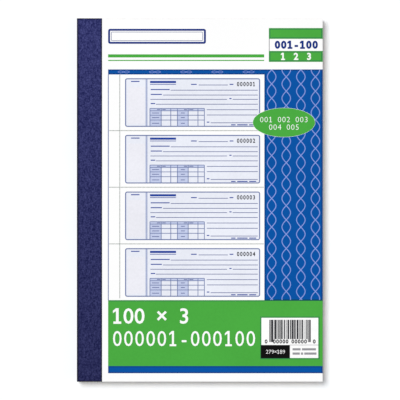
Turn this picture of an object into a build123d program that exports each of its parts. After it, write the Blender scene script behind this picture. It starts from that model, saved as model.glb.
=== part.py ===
from build123d import *
import os

# A tape-bound receipt book of three-part sets, lying closed on its back cover.
# X runs from the bound edge to the fore-edge, Y from the foot of the page to its head, and Z up
# from the table, with the origin under the middle of the book. All sizes are in millimetres.

# Trimmed book, over the tape
book_height = 279.4
book_width = 189.0

# Paper and card
leaf_thickness = 0.085
leaf_gap = 0.02
front_card = 0.35
back_card = 0.55
shield_card = 0.3
shield_inset = 2.0

# Contents: each set is a white original, a yellow copy and a pink copy of four receipts
set_count = 25
leaves_per_set = 3
receipts_per_leaf = 4

# Binding: the tape wraps the spine, and covers and leaves bend at the fold line
bound_width = 12.7
tape_thickness = 0.2
tape_flap_width = 6.6
fold_gap = 0.05

# Slit perforation between the stub and the receipts, and from receipt to receipt
stub_width = 3.2
slit_length = 4.0
slit_tie = 1.0
slit_width = 0.25
tear_gap = 0.03

# Flat-wire staples through the bound edge, pressed into the cards and clinched at the back
staple_spacing = 140.0
staple_from_spine = 6.5
staple_crown = 14.0
staple_clinch = 5.0
wire_width = 0.7
wire_thickness = 0.25
wire_bend = 0.2
wire_clearance = 0.03

# Edges of the book, seen from above
spine_x = -book_width / 2
fore_edge_x = book_width / 2
head_y = book_height / 2
foot_y = -book_height / 2
bound_edge_x = spine_x + tape_thickness
fold_x = spine_x + bound_width
strip_edge_x = fold_x - fold_gap / 2
turning_edge_x = fold_x + fold_gap / 2
tape_edge_x = fold_x + tape_flap_width
tear_x = fold_x + stub_width
receipt_edge_x = tear_x + tear_gap / 2
receipt_height = book_height / receipts_per_leaf

# Levels of the stack, from the table up
leaf_pitch = leaf_thickness + leaf_gap
block_leaves = (set_count - 1) * leaves_per_set
block_z = back_card + leaf_gap
shield_z = block_z + block_leaves * leaf_pitch
pink_z = shield_z + shield_card + leaf_gap
yellow_z = pink_z + leaf_pitch
white_z = yellow_z + leaf_pitch
front_card_z = white_z + leaf_pitch
front_tape_z = front_card_z + front_card
book_top_z = front_tape_z + tape_thickness

# Staple places: legs stand at the ends of each crown
staple_x = spine_x + staple_from_spine
staple_ys = (-staple_spacing / 2, staple_spacing / 2)
leg_offset = (staple_crown - wire_thickness) / 2
crown_z = front_tape_z - wire_clearance - wire_thickness / 2
clinch_z = tape_thickness + wire_clearance + wire_thickness / 2
slot_width = wire_width + 2 * wire_clearance

os.makedirs("parts", exist_ok=True)


def area(left, right, foot, head, mode=Mode.ADD):
    """Draw the rectangle between four edges in the sketch being made."""
    with Locations(((left + right) / 2, (foot + head) / 2)):
        Rectangle(right - left, head - foot, mode=mode)


def leg_holes():
    """Cut the holes of the staple legs out of the sketch being made."""
    leg_places = [(staple_x, y + side * leg_offset) for y in staple_ys for side in (-1, 1)]
    with Locations(*leg_places):
        Rectangle(slot_width, wire_thickness + 2 * wire_clearance, mode=Mode.SUBTRACT)


def slits(x, y, length, along_x):
    """Cut a row of slits, with a tie at each end, centred on a tear line of the sketch."""
    pitch = slit_length + slit_tie
    count = int((length - slit_tie) // pitch)
    columns, rows = (count, 1) if along_x else (1, count)
    size = (slit_length, 2 * slit_width) if along_x else (2 * slit_width, slit_length)
    with Locations((x, y)):
        with GridLocations(pitch, pitch, columns, rows):
            Rectangle(*size, mode=Mode.SUBTRACT)


def save(piece, name):
    """Label a finished sub-part and write its STEP file."""
    piece.part.label = name
    export_step(piece.part, f"parts/{name}.step")


# Spine tape: front band, spine wall and back band in one U-shaped wrap, its outer bends rounded
with BuildPart() as spine_tape:
    with BuildSketch(Plane.XZ):
        area(spine_x, strip_edge_x, 0, book_top_z)
        area(bound_edge_x, strip_edge_x, tape_thickness, front_tape_z, mode=Mode.SUBTRACT)
    extrude(amount=book_height / 2, both=True)
    fillet(spine_tape.edges().filter_by(Axis.Y).group_by(Axis.X)[0], radius=2 * tape_thickness)
save(spine_tape, "spine_tape")

# Tape flaps: the tape beyond the fold line, stuck to each cover
with BuildPart() as front_tape_flap:
    with BuildSketch(Plane.XY.offset(front_tape_z)):
        area(turning_edge_x, tape_edge_x, foot_y, head_y)
    extrude(amount=tape_thickness)
save(front_tape_flap, "front_tape_flap")

with BuildPart() as back_tape_flap:
    with BuildSketch(Plane.XY):
        area(turning_edge_x, tape_edge_x, foot_y, head_y)
    extrude(amount=tape_thickness)
save(back_tape_flap, "back_tape_flap")

# Staples: flat wire bent to a crown, two legs and two clinched ends
with BuildPart() as staples:
    for staple_y in staple_ys:
        with BuildSketch(Plane.YZ.offset(staple_x)):
            with BuildLine():
                left_y, right_y = staple_y - leg_offset, staple_y + leg_offset
                FilletPolyline(
                    (left_y + staple_clinch, clinch_z),
                    (left_y, clinch_z),
                    (left_y, crown_z),
                    (right_y, crown_z),
                    (right_y, clinch_z),
                    (right_y - staple_clinch, clinch_z),
                    radius=wire_bend,
                )
            trace(line_width=wire_thickness)
        extrude(amount=wire_width / 2, both=True)
save(staples, "staples")

# Front cover: the bound strip under the tape is slotted for the crowns, and the panel turns
with BuildPart() as front_cover_bound_strip:
    with BuildSketch(Plane.XY.offset(front_card_z)):
        area(bound_edge_x, strip_edge_x, foot_y, head_y)
        with Locations(*[(staple_x, y) for y in staple_ys]):
            Rectangle(slot_width, staple_crown + 2 * wire_clearance, mode=Mode.SUBTRACT)
    extrude(amount=front_card)
save(front_cover_bound_strip, "front_cover_bound_strip")

with BuildPart() as front_cover:
    with BuildSketch(Plane.XY.offset(front_card_z)):
        area(turning_edge_x, fore_edge_x, foot_y, head_y)
    extrude(amount=front_card)
save(front_cover, "front_cover")

# Back cover: thicker card, pressed in where the tape lies so that the underside is flat, with the
# bound strip slotted for the clinched ends
clinch_slot = staple_clinch + wire_thickness / 2 + 2 * wire_clearance
clinch_centre = leg_offset + wire_thickness / 2 + wire_clearance - clinch_slot / 2
with BuildPart() as back_cover_bound_strip:
    with BuildSketch(Plane.XY.offset(tape_thickness)):
        area(bound_edge_x, strip_edge_x, foot_y, head_y)
        with Locations(*[(staple_x, y + side * clinch_centre) for y in staple_ys for side in (-1, 1)]):
            Rectangle(slot_width, clinch_slot, mode=Mode.SUBTRACT)
    extrude(amount=back_card - tape_thickness)
save(back_cover_bound_strip, "back_cover_bound_strip")

with BuildPart() as back_cover:
    with BuildSketch(Plane.XY):
        area(turning_edge_x, fore_edge_x, foot_y, head_y)
    extrude(amount=back_card)
    with BuildSketch(Plane.XY):
        area(turning_edge_x, tape_edge_x, foot_y, head_y)
    extrude(amount=tape_thickness, mode=Mode.SUBTRACT)
save(back_cover, "back_cover")

# First set, white original and yellow copy: bound strip, turning stub and four tear-off receipts
for colour, leaf_z in (("white", white_z), ("yellow", yellow_z)):
    with BuildPart() as bound_strip:
        with BuildSketch(Plane.XY.offset(leaf_z)):
            area(bound_edge_x, strip_edge_x, foot_y, head_y)
            leg_holes()
        extrude(amount=leaf_thickness)
    save(bound_strip, f"{colour}_bound_strip")

    with BuildPart() as stub:
        with BuildSketch(Plane.XY.offset(leaf_z)):
            area(turning_edge_x, tear_x - tear_gap / 2, foot_y, head_y)
        extrude(amount=leaf_thickness)
    save(stub, f"{colour}_stub")

    for number in range(1, receipts_per_leaf + 1):
        receipt_head = head_y - (number - 1) * receipt_height
        receipt_foot = receipt_head - receipt_height
        is_first = number == 1
        is_last = number == receipts_per_leaf
        with BuildPart() as receipt:
            with BuildSketch(Plane.XY.offset(leaf_z)):
                area(
                    receipt_edge_x,
                    fore_edge_x,
                    receipt_foot if is_last else receipt_foot + tear_gap / 2,
                    receipt_head if is_first else receipt_head - tear_gap / 2,
                )
                slits(receipt_edge_x, receipt_foot + receipt_height / 2, receipt_height, along_x=False)
                if not is_last:
                    foot_length = fore_edge_x - receipt_edge_x
                    slits(receipt_edge_x + foot_length / 2, receipt_foot, foot_length, along_x=True)
            extrude(amount=leaf_thickness)
        save(receipt, f"{colour}_receipt_{number}")

# First set, pink copy: it stays in the book, so its leaf has no perforation
with BuildPart() as pink_bound_strip:
    with BuildSketch(Plane.XY.offset(pink_z)):
        area(bound_edge_x, strip_edge_x, foot_y, head_y)
        leg_holes()
    extrude(amount=leaf_thickness)
save(pink_bound_strip, "pink_bound_strip")

with BuildPart() as pink_leaf:
    with BuildSketch(Plane.XY.offset(pink_z)):
        area(turning_edge_x, fore_edge_x, foot_y, head_y)
    extrude(amount=leaf_thickness)
save(pink_leaf, "pink_leaf")

# Writing shield: a loose card under the set in use, so that the pen doesn't mark the next one
with BuildPart() as writing_shield:
    with BuildSketch(Plane.XY.offset(shield_z)):
        area(
            turning_edge_x + shield_inset,
            fore_edge_x - shield_inset,
            foot_y + shield_inset,
            head_y - shield_inset,
        )
    extrude(amount=shield_card)
save(writing_shield, "writing_shield")

# Unused sets below the shield: pink, yellow and white leaves by turns, from the back cover up
for place, colour in enumerate(("pink", "yellow", "white")):
    leaf_zs = [block_z + (place + leaves_per_set * i) * leaf_pitch for i in range(set_count - 1)]
    with BuildPart() as leaves:
        with BuildSketch(*[Plane.XY.offset(z) for z in leaf_zs]):
            area(bound_edge_x, fore_edge_x, foot_y, head_y)
            leg_holes()
        extrude(amount=leaf_thickness)
    save(leaves, f"{colour}_leaves")
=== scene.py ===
# %% [markdown]
# # A tape-bound receipt book
# The real book is a stack of thin leaves between two cards, stapled along one edge and wrapped
# there in cloth tape. It was photographed closed and flat, from straight above.
# The solids of the book are exact already, so this script dresses them. It gives paper, card, cloth
# and wire their finish, lays the printing on the cover and on the leaves, and sets up light and camera.
# Everything is in metres and in the frame of the solids, so nothing has to be fitted by eye.

# %% Load the frame
import math
import random

import bmesh
import bpy
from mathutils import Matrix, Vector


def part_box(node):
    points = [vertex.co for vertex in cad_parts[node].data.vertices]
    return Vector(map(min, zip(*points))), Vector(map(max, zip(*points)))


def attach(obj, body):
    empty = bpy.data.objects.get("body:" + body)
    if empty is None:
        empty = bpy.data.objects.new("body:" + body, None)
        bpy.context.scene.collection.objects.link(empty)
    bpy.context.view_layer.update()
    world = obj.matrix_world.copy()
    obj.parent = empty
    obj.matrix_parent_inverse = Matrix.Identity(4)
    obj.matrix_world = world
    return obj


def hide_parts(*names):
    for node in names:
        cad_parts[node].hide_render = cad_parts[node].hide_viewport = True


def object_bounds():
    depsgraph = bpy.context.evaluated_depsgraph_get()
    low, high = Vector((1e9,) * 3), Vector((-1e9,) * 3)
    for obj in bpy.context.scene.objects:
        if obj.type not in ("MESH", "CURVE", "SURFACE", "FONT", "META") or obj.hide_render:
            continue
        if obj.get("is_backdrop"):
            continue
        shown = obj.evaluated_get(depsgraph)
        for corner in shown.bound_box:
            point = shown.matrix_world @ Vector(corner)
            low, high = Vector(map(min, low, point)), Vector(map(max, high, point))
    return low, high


MM = 0.001

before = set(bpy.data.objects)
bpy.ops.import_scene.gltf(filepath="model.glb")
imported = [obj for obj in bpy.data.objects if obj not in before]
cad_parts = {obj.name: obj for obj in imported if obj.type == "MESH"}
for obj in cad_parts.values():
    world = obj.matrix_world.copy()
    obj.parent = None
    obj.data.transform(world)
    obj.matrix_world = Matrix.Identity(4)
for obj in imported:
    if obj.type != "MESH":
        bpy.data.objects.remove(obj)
cad_low, cad_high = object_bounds()
print("box of the solids in mm:", [round(size / MM, 2) for size in cad_high - cad_low])

# %% [markdown]
# ## Places
# A dressed model stays true when its sizes come from the solids and not from a ruler held to the
# screen. The edges of the book, the level of the cover and the thickness of a leaf are read here once.

# %% Edges and levels of the book
RECEIPTS = 4

spine_x, fore_edge_x = cad_low.x, cad_high.x
foot_y, head_y = cad_low.y, cad_high.y
cover_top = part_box("front_cover")[1].z
tape_edge_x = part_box("front_tape_flap")[1].x
tear_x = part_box("white_stub")[1].x
leaf_low, leaf_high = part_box("pink_leaf")
leaf_thickness = leaf_high.z - leaf_low.z
receipt_height = (head_y - foot_y) / RECEIPTS
print("tape", round((tape_edge_x - spine_x) / MM, 2), "mm wide")
print("leaf", round(leaf_thickness / MM, 3), "mm thick, receipt", round(receipt_height / MM, 2), "mm high")

# %% [markdown]
# ## Colour and light
# A photograph shows a colour under light, while a material wants the share of light that its surface
# sends back. Under even light the one is the other times the light's level. The lamps at the end of
# this script are set to one level on the cover, so a colour that was seen is divided by it here.

# %% From seen colours to base colours
LIGHT_LEVEL = 1.08
DISPLAY_WHITE = 255
DARK_END, DARK_SLOPE = 0.04045, 12.92
CURVE_OFFSET, CURVE_POWER = 0.055, 2.4


def linear(shade):
    """The amount of light behind a display value, by the curve that displays follow."""
    share = shade / DISPLAY_WHITE
    if share <= DARK_END:
        return share / DARK_SLOPE
    return ((share + CURVE_OFFSET) / (1 + CURVE_OFFSET)) ** CURVE_POWER


def seen(red, green, blue):
    """The base colour of a surface that should look like this on the cover."""
    return tuple(linear(shade) / LIGHT_LEVEL for shade in (red, green, blue)) + (1.0,)


def printed_over(ink, paper):
    """The colour of a thin, clear ink on coloured paper: each takes its share of the light."""
    return tuple(over * under * LIGHT_LEVEL for over, under in zip(ink[:3], paper[:3])) + (1.0,)


print("a seen white of 255 is a base colour of", round(seen(255, 255, 255)[0], 3))

# %% [markdown]
# ## Nodes and sums
# Shader nodes can be wired by hand in the editor or in code. In code a few helpers keep the wiring
# readable: one feeds a node, one places it with its settings, and the others are the sums that come up
# again and again. The terms of a sum share one name in Blender, so they go by number.

# %% Place a node, work out a sum
RISING, FALLING, EITHER_WAY = (0.0, 1.0), (1.0, 0.0), (-1.0, 1.0)
NOTHING = (0.0, 0.0, 0.0)


def feed(tree, node, inputs):
    """Give a node its inputs, each a number, a colour or the socket that feeds it."""
    for name, value in inputs.items():
        if isinstance(value, bpy.types.NodeSocket):
            tree.links.new(value, node.inputs[name])
        else:
            node.inputs[name].default_value = value


def place(tree, kind, inputs=None, **settings):
    """Put a node in a tree, with its settings and inputs."""
    node = tree.nodes.new(kind)
    for name, value in settings.items():
        setattr(node, name, value)
    feed(tree, node, inputs or {})
    return node


def work(tree, operation, first, second=0.0, third=0.0):
    """The result of one sum on numbers."""
    terms = {0: first, 1: second, 2: third}
    return place(tree, "ShaderNodeMath", terms, operation=operation).outputs["Value"]


def vector_work(tree, operation, first, second, third=NOTHING):
    """The result of one sum on places or colours, for each of their three parts."""
    terms = {0: first, 1: second, 2: third}
    return place(tree, "ShaderNodeVectorMath", terms, operation=operation).outputs["Vector"]


def remap(tree, value, span, to_span, smooth=False):
    """A value moved from one span to another and kept inside it."""
    inputs = {"Value": value, "From Min": span[0], "From Max": span[1]}
    inputs.update({"To Min": to_span[0], "To Max": to_span[1]})
    kind = "SMOOTHSTEP" if smooth else "LINEAR"
    return place(tree, "ShaderNodeMapRange", inputs, interpolation_type=kind).outputs["Result"]


print("a mask rises over", RISING, "and falls over", FALLING)

# %% [markdown]
# ## Colours and noise
# Nearly every finish here is a colour made a little lighter or darker by noise. Noise in object
# coordinates sticks to its piece, so it moves with the piece when the book is opened. Its values gather
# round one half and seldom leave the span that is named here. The Mix node has sockets of one name for
# numbers, for places and for colours, so its colour sockets go by number too.

# %% Mix colours, make noise
NOISE_SPAN = (0.3, 0.7)
PLAIN_NOISE, FINE_NOISE, SOFT_NOISE = 2.0, 3.0, 1.0
NOT_DRAWN = (1.0, 1.0, 1.0)
MIX_AMOUNT, MIX_FIRST, MIX_SECOND, MIXED = 0, 6, 7, 2


def tint(tree, amount, first, second):
    """A colour between two others."""
    inputs = {MIX_AMOUNT: amount, MIX_FIRST: first, MIX_SECOND: second}
    return place(tree, "ShaderNodeMix", inputs, data_type="RGBA").outputs[MIXED]


def lighten(tree, colour, factor):
    """A colour made lighter or darker by a factor."""
    inputs = {"Vector": colour, "Scale": factor}
    return place(tree, "ShaderNodeVectorMath", inputs, operation="SCALE").outputs["Vector"]


def noise(tree, spot, scale, detail=PLAIN_NOISE, draw=NOT_DRAWN):
    """Cloudy noise at a number of cells to the metre, drawn out along an axis if asked."""
    inputs = {"Vector": vector_work(tree, "MULTIPLY", spot, draw), "Scale": scale, "Detail": detail}
    return place(tree, "ShaderNodeTexNoise", inputs).outputs["Fac"]


def object_spot(tree):
    """The place on the piece itself, so that a finish moves with it."""
    return place(tree, "ShaderNodeTexCoord").outputs["Object"]


def parts_of(tree, spot):
    """The X, Y and Z of a place."""
    return place(tree, "ShaderNodeSeparateXYZ", {"Vector": spot}).outputs


print("noise is taken to lie within", NOISE_SPAN)

# %% [markdown]
# ## Node groups
# An effect that several materials share is built once, as a node group with named sockets, and placed
# in each material with its own values. Copies of the nodes would do too, until one of them is changed.

# %% Start a group, use a group
SOCKET_KINDS = {"value": "NodeSocketFloat", "colour": "NodeSocketColor", "place": "NodeSocketVector"}


def new_group(name, inputs, outputs):
    """Start a shader node group: its tree, the sockets that it is given and the node for its results."""
    tree = bpy.data.node_groups.new(name, "ShaderNodeTree")
    for side, sockets in (("INPUT", inputs), ("OUTPUT", outputs)):
        for socket, kind in sockets.items():
            tree.interface.new_socket(name=socket, in_out=side, socket_type=SOCKET_KINDS[kind])
    return tree, tree.nodes.new("NodeGroupInput").outputs, tree.nodes.new("NodeGroupOutput")


def use_group(tree, group, inputs):
    """Place a node group in a material with its own values, and give its outputs."""
    return place(tree, "ShaderNodeGroup", inputs, node_tree=group).outputs


print("a group's sockets are of the kinds", ", ".join(SOCKET_KINDS))

# %% [markdown]
# ## Paper fibre
# The paper of such sets looks uncoated: it is a little cloudy, and its fibres lie mostly one way, the
# way that the paper machine ran. A picture of paper would do, but noise needs no file and has no
# seams. The cut edges of a stack get painted streaks of light and shade, as leaves that lie a little out
# of line catch more or less light. Noise drawn out flat gives these streaks, on the faces that look
# sideways only. The same group serves all three papers, each with its own colour.

# %% Group: paper fibre
CLOUDS_PER_METRE = 130
FIBRES_PER_METRE = 3200
FIBRE_DRAW = (1.0, 0.16, 1.0)
STREAKS_PER_METRE = 750
STREAK_DRAW = (0.005, 0.005, 1.0)
STREAK_PAINTED_SHADES = (-0.2, 0.12)

paper_fibre, given, results = new_group(
    "paper_fibre",
    {"Colour": "colour", "Clouding": "value"},
    {"Colour": "colour", "Height": "value"},
)
spot = object_spot(paper_fibre)
cloud = remap(paper_fibre, noise(paper_fibre, spot, CLOUDS_PER_METRE, FINE_NOISE), NOISE_SPAN, EITHER_WAY)
facing = parts_of(paper_fibre, place(paper_fibre, "ShaderNodeTexCoord").outputs["Normal"])
sideways = work(paper_fibre, "SUBTRACT", 1.0, work(paper_fibre, "ABSOLUTE", facing["Z"]))
# painted light and shade: streaks along the cut edges of the leaves
streak_noise = noise(paper_fibre, spot, STREAKS_PER_METRE, FINE_NOISE, STREAK_DRAW)
painted_streak_shade = work(paper_fibre, "MULTIPLY", remap(paper_fibre, streak_noise, NOISE_SPAN, STREAK_PAINTED_SHADES), sideways)
shade = work(paper_fibre, "MULTIPLY_ADD", cloud, given["Clouding"], work(paper_fibre, "ADD", painted_streak_shade, 1.0))
feed(paper_fibre, results, {
    "Colour": lighten(paper_fibre, given["Colour"], shade),
    "Height": noise(paper_fibre, spot, FIBRES_PER_METRE, draw=FIBRE_DRAW),
})
print("group", paper_fibre.name, "with", len(paper_fibre.nodes), "nodes")

# %% [markdown]
# ## Print mottle
# Ink on coated card is never quite even. It sits a little thicker here and thinner there, at the scale
# of a millimetre, and its gloss follows. Each ink could have a noise of its own, but with one group the
# inks and the bare coating are uneven in one and the same way, as they are from one press.

# %% Group: print mottle
MOTTLE_PER_METRE = 620
FLOODING_PER_METRE = 28
TWO_NOISES_SPAN = (0.7, 1.3)
INK_ROUGHNESS = (0.38, 0.52)

print_mottle, given, results = new_group(
    "print_mottle",
    {"Colour": "colour", "Mottle": "value"},
    {"Colour": "colour", "Roughness": "value", "Height": "value"},
)
spot = object_spot(print_mottle)
speck = noise(print_mottle, spot, MOTTLE_PER_METRE, FINE_NOISE)
flood = noise(print_mottle, spot, FLOODING_PER_METRE, SOFT_NOISE)
layer = remap(print_mottle, work(print_mottle, "ADD", speck, flood), TWO_NOISES_SPAN, EITHER_WAY)
shade = work(print_mottle, "MULTIPLY_ADD", layer, given["Mottle"], 1.0)
feed(print_mottle, results, {
    "Colour": lighten(print_mottle, given["Colour"], shade),
    "Roughness": remap(print_mottle, speck, NOISE_SPAN, INK_ROUGHNESS),
    "Height": speck,
})
print("group", print_mottle.name, "with", len(print_mottle.nodes), "nodes")

# %% [markdown]
# ## Leather grain
# The binding tape is cloth with a coat that is embossed to look like leather: small uneven pebbles
# with creases between them. The colour is darker in the creases, partly the tone of the grain and partly
# painted shade, and lighter on the pebbles, partly rubbed and partly a painted highlight. Noise alone
# would look like felt, so Voronoi cells give the pebbles. Their places are pushed about by noise first,
# or they would look like a honeycomb. The colour follows the pebbles and a coarser rubbing in equal parts.

# %% Group: leather grain
PEBBLES_PER_METRE = 900
PEBBLE_SPAN = (0.1, 0.75)
PEBBLE_BLUR = 0.5
WANDER_PER_METRE = 600
WANDER = (0.8 * MM, 0.8 * MM, 0.8 * MM)
NOISE_MIDDLE = (0.5, 0.5, 0.5)
RUB_PER_METRE = 800
RUB_DRAW = (1.0, 0.6, 1.0)
RUB_SPAN = (0.36, 0.68)
GRAIN_ROUGHNESS = (0.72, 0.5)

leather_grain, given, results = new_group(
    "leather_grain",
    {"Crease": "colour", "Rubbed_and_lit": "colour"},
    {"Colour": "colour", "Roughness": "value", "Height": "value"},
)
spot = object_spot(leather_grain)
push = place(leather_grain, "ShaderNodeTexNoise", {"Vector": spot, "Scale": WANDER_PER_METRE})
centred = vector_work(leather_grain, "SUBTRACT", push.outputs["Color"], NOISE_MIDDLE)
pushed_spot = vector_work(leather_grain, "MULTIPLY_ADD", centred, WANDER, spot)
cell_inputs = {"Vector": pushed_spot, "Scale": PEBBLES_PER_METRE, "Smoothness": PEBBLE_BLUR}
cells = place(leather_grain, "ShaderNodeTexVoronoi", cell_inputs, feature="SMOOTH_F1")
pebble = remap(leather_grain, cells.outputs["Distance"], PEBBLE_SPAN, FALLING, smooth=True)
rub = remap(leather_grain, noise(leather_grain, spot, RUB_PER_METRE, FINE_NOISE, RUB_DRAW), RUB_SPAN, RISING)
# painted shade in the creases and painted highlight on the pebbles, mixed with a coarser rubbing of the coat
grain_shade_and_wear = work(leather_grain, "DIVIDE", work(leather_grain, "ADD", pebble, rub), 2.0)
feed(leather_grain, results, {
    "Colour": tint(leather_grain, grain_shade_and_wear, given["Crease"], given["Rubbed_and_lit"]),
    "Roughness": remap(leather_grain, grain_shade_and_wear, RISING, GRAIN_ROUGHNESS),
    "Height": pebble,
})
print("group", leather_grain.name, "with", len(leather_grain.nodes), "nodes")

# %% [markdown]
# ## Rim of handling grey and painted shade
# Cut edges of card and board are handled most, and the mask greys them. On the tape, and in part on
# the card, the same mask paints shade along the edges. The mask is full at the border of a rectangle and
# fades inwards, with noise so that it doesn't read as a drawn line. Pointiness would find edges too,
# but only on dense meshes, and these sheets have few corners.

# %% Group: rim of handling grey and painted shade
RIM_BREAKS_PER_METRE = 380
RAGGED_SPAN, RAGGED_REACH = (0.25, 0.75), (0.4, 1.5)

rim_wear_and_shade, given, results = new_group(
    "rim_wear_and_shade",
    {"Lowest": "place", "Highest": "place", "Width": "value"},
    {"Mask": "value"},
)
spot = object_spot(rim_wear_and_shade)
inwards = []
for first, second in ((spot, given["Lowest"]), (given["Highest"], spot)):
    gaps = parts_of(rim_wear_and_shade, vector_work(rim_wear_and_shade, "SUBTRACT", first, second))
    inwards.append(work(rim_wear_and_shade, "MINIMUM", gaps["X"], gaps["Y"]))
nearest = work(rim_wear_and_shade, "MINIMUM", *inwards)
breaks = noise(rim_wear_and_shade, spot, RIM_BREAKS_PER_METRE, FINE_NOISE)
reach = work(rim_wear_and_shade, "MULTIPLY", given["Width"], remap(rim_wear_and_shade, breaks, RAGGED_SPAN, RAGGED_REACH))
rim_share = work(rim_wear_and_shade, "DIVIDE", nearest, reach)
feed(rim_wear_and_shade, results, {"Mask": remap(rim_wear_and_shade, rim_share, RISING, FALLING, smooth=True)})
print("group", rim_wear_and_shade.name, "with", len(rim_wear_and_shade.nodes), "nodes")

# %% [markdown]
# ## Board flecks
# Grey board and manila are made from waste paper, so short dark and light fibres show all over them.
# Each fibre could be a speck of geometry, but there are thousands. Two sharp cuts through one fine noise
# make the flecks, one for each shade.

# %% Group: board flecks
FLECKS_PER_METRE = 1250
FLECK_DRAW = (1.0, 0.45, 1.0)
DARK_CUT, LIGHT_CUT = (0.34, 0.4), (0.6, 0.66)
MATTING_PER_METRE = 160
MATTING_SHADES = (0.93, 1.07)

board_flecks, given, results = new_group(
    "board_flecks",
    {"Colour": "colour", "Dark": "colour", "Light": "colour", "Amount": "value"},
    {"Colour": "colour", "Height": "value"},
)
spot = object_spot(board_flecks)
fleck = noise(board_flecks, spot, FLECKS_PER_METRE, draw=FLECK_DRAW)
mats = noise(board_flecks, spot, MATTING_PER_METRE, FINE_NOISE)
flecked = lighten(board_flecks, given["Colour"], remap(board_flecks, mats, NOISE_SPAN, MATTING_SHADES))
for shade_name, cut, slope in (("Dark", DARK_CUT, FALLING), ("Light", LIGHT_CUT, RISING)):
    amount = work(board_flecks, "MULTIPLY", remap(board_flecks, fleck, cut, slope), given["Amount"])
    flecked = tint(board_flecks, amount, flecked, given[shade_name])
feed(board_flecks, results, {"Colour": flecked, "Height": fleck})
print("group", board_flecks.name, "with", len(board_flecks.nodes), "nodes")

# %% [markdown]
# ## Papers
# The set in use is a white original, a yellow copy and a pink copy, and so are the sets below it. The
# three papers differ only in colour, so one function makes them. Paper has a soft, wide highlight: its
# roughness is high and its reflection weak.

# %% White, yellow and pink paper
PAPER_ROUGHNESS = 0.85
PAPER_SHINE = 0.2
PAPER_CLOUDING = 0.015
FIBRE_DEPTH, FIBRE_RELIEF = 0.03 * MM, 0.35
PAPER_COLOURS = {
    "white": seen(250, 251, 251),
    "yellow": seen(251, 234, 146),
    "pink": seen(246, 188, 200),
}


def new_material(name):
    """An empty material: itself, its node tree and its shader."""
    material = bpy.data.materials.new(name)
    material.use_nodes = True
    return material, material.node_tree, material.node_tree.nodes["Principled BSDF"]


def raised(tree, height, depth, strength):
    """The normals of a surface that is shaded as if a height stood up by a depth in metres."""
    inputs = {"Height": height, "Distance": depth, "Strength": strength}
    return place(tree, "ShaderNodeBump", inputs).outputs["Normal"]


def paper(name, colour):
    """Uncoated paper of one colour."""
    material, tree, shader = new_material(name)
    stock = use_group(tree, paper_fibre, {"Colour": colour, "Clouding": PAPER_CLOUDING})
    feed(tree, shader, {
        "Base Color": stock["Colour"],
        "Roughness": PAPER_ROUGHNESS,
        "Specular IOR Level": PAPER_SHINE,
        "Normal": raised(tree, stock["Height"], FIBRE_DEPTH, FIBRE_RELIEF),
    })
    return material


papers = {colour: paper(f"{colour}_paper", base) for colour, base in PAPER_COLOURS.items()}
print("papers:", ", ".join(papers))

# %% [markdown]
# ## Cover card
# The front cover is white card with a smooth coating on its outer face only. The inner face is bare
# stock, a little warmer and quite matt. Two materials could share the faces between them, but the level
# in the card tells a shader the same: the coating gives way to the stock through its thickness. The
# cut edges are a little darker, partly a trace of grey from handling and partly painted shade along
# them, which the rim mask brings in.

# %% Coated card
COVER_WHITE = seen(254, 254, 254)
STOCK_WHITE = seen(238, 235, 226)
COAT_MOTTLE, STOCK_CLOUDING = 0.008, 0.02
STOCK_ROUGHER = 0.4
CARD_SHINE = 0.1
COAT_DEPTH, COAT_RELIEF = 0.01 * MM, 0.2
# darker cut edges of the card: partly grey from handling, partly painted shade
CARD_RIM, CARD_RIM_SHADE = 0.8 * MM, 0.12


def rim_factor(tree, low, high, width, amount):
    """A factor that falls from one by an amount towards the border of a box."""
    border = {"Lowest": tuple(low), "Highest": tuple(high), "Width": width}
    return remap(tree, use_group(tree, rim_wear_and_shade, border)["Mask"], RISING, (1.0, 1.0 - amount))


def coated_card():
    """White card with a coating on its outer face."""
    material, tree, shader = new_material("cover_card")
    low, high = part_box("front_cover")
    level = parts_of(tree, object_spot(tree))["Z"]
    bare = remap(tree, level, (low.z, high.z), FALLING, smooth=True)
    coat = use_group(tree, print_mottle, {"Colour": COVER_WHITE, "Mottle": COAT_MOTTLE})
    stock = use_group(tree, paper_fibre, {"Colour": STOCK_WHITE, "Clouding": STOCK_CLOUDING})
    both = tint(tree, bare, coat["Colour"], stock["Colour"])
    feed(tree, shader, {
        "Base Color": lighten(tree, both, rim_factor(tree, low, high, CARD_RIM, CARD_RIM_SHADE)),
        "Roughness": work(tree, "MULTIPLY_ADD", bare, STOCK_ROUGHER, coat["Roughness"]),
        "Specular IOR Level": CARD_SHINE,
        "Normal": raised(tree, coat["Height"], COAT_DEPTH, COAT_RELIEF),
    })
    return material


cover_card = coated_card()
print("material", cover_card.name)

# %% [markdown]
# ## Board and manila
# The back cover is thicker grey board, which keeps the book stiff to write on. The shield that lies
# under the set in use is buff manila card. Both take the flecks, each with its own shades: the ground,
# the dark flecks and the light ones.

# %% Grey board and buff card
BOARD_ROUGHNESS = 0.9
BOARD_RIM, BOARD_RIM_SHADE = 1.5 * MM, 0.12
FLECK_DEPTH, FLECK_RELIEF = 0.05 * MM, 0.4
GREY_SHADES, GREY_FLECKS = (seen(176, 168, 155), seen(118, 108, 96), seen(214, 208, 196)), 0.5
BUFF_SHADES, BUFF_FLECKS = (seen(216, 190, 146), seen(168, 136, 92), seen(236, 216, 180)), 0.35


def board(name, node, shades, amount):
    """Uncoated board of three shades, with flecks in it and a rubbed border."""
    material, tree, shader = new_material(name)
    inputs = dict(zip(("Colour", "Dark", "Light"), shades), Amount=amount)
    pulp = use_group(tree, board_flecks, inputs)
    rubbed = rim_factor(tree, *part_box(node), BOARD_RIM, BOARD_RIM_SHADE)
    feed(tree, shader, {
        "Base Color": lighten(tree, pulp["Colour"], rubbed),
        "Roughness": BOARD_ROUGHNESS,
        "Specular IOR Level": PAPER_SHINE,
        "Normal": raised(tree, pulp["Height"], FLECK_DEPTH, FLECK_RELIEF),
    })
    return material


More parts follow.
